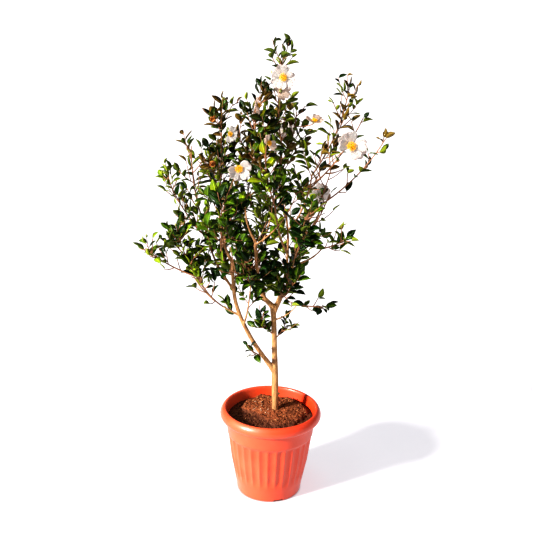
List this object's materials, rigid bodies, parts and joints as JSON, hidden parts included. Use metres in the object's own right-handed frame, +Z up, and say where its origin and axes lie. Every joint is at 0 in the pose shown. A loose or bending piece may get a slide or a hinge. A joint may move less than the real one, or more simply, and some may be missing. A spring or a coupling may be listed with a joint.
{
  "type": "potted camellia shrub",
  "caption": "Upright flowering evergreen shrub with a forked trunk and open crown, standing in a fluted round plastic pot filled with soil.",
  "frame": {"origin": "centre of the pot's flat underside, on the ground", "axes": "+Z up along the pot's axis and the trunk, -Y towards the side that the picture shows, +X to its right"},
  "size_m": [0.7161, 0.6057, 1.3521],
  "materials": {
    "pot": "satin orange-red moulded plastic",
    "soil": "damp crumbly potting soil",
    "bark": "smooth tan bark",
    "foliage": "glossy leaves"
  },
  "bodies": {
    "root": {"pot": "pot", "soil": "soil", "trunk": "bark", "left_stem": "bark", "left_stem_top": "bark", "left_low_bough": "bark", "left_side_bough": "bark", "left_front_bough": "bark", "inner_left_bough": "bark", "middle_stem": "bark", "middle_stem_top": "bark", "centre_bough": "bark", "crossing_bough": "bark", "back_left_bough": "bark", "back_low_bough": "bark", "leader": "bark", "leader_top": "bark", "front_high_bough": "bark", "back_right_bough": "bark", "high_right_bough": "bark", "right_stem": "bark", "right_stem_top": "bark", "right_front_bough": "bark", "right_mid_bough": "bark", "right_low_bough": "bark", "top_mass": "foliage", "inner_high_mass": "foliage", "high_left_mass": "foliage", "left_shoulder_mass": "foliage", "left_far_mass": "foliage", "left_low_mass": "foliage", "left_under_mass": "foliage", "front_left_mass": "foliage", "front_low_mass": "foliage", "centre_mass": "foliage", "back_left_mass": "foliage", "back_low_mass": "foliage", "back_high_mass": "foliage", "front_high_mass": "foliage", "front_right_mass": "foliage", "back_right_mass": "foliage", "high_right_mass": "foliage", "high_side_mass": "foliage", "flower_side_mass": "foliage", "right_mass": "foliage", "right_inner_mass": "foliage", "right_mid_mass": "foliage", "right_low_mass": "foliage", "low_centre_mass": "foliage", "low_left_mass": "foliage", "fork_sprig": "foliage", "left_sprig": "foliage", "right_sprig": "foliage"}
  },
  "joints": []
}
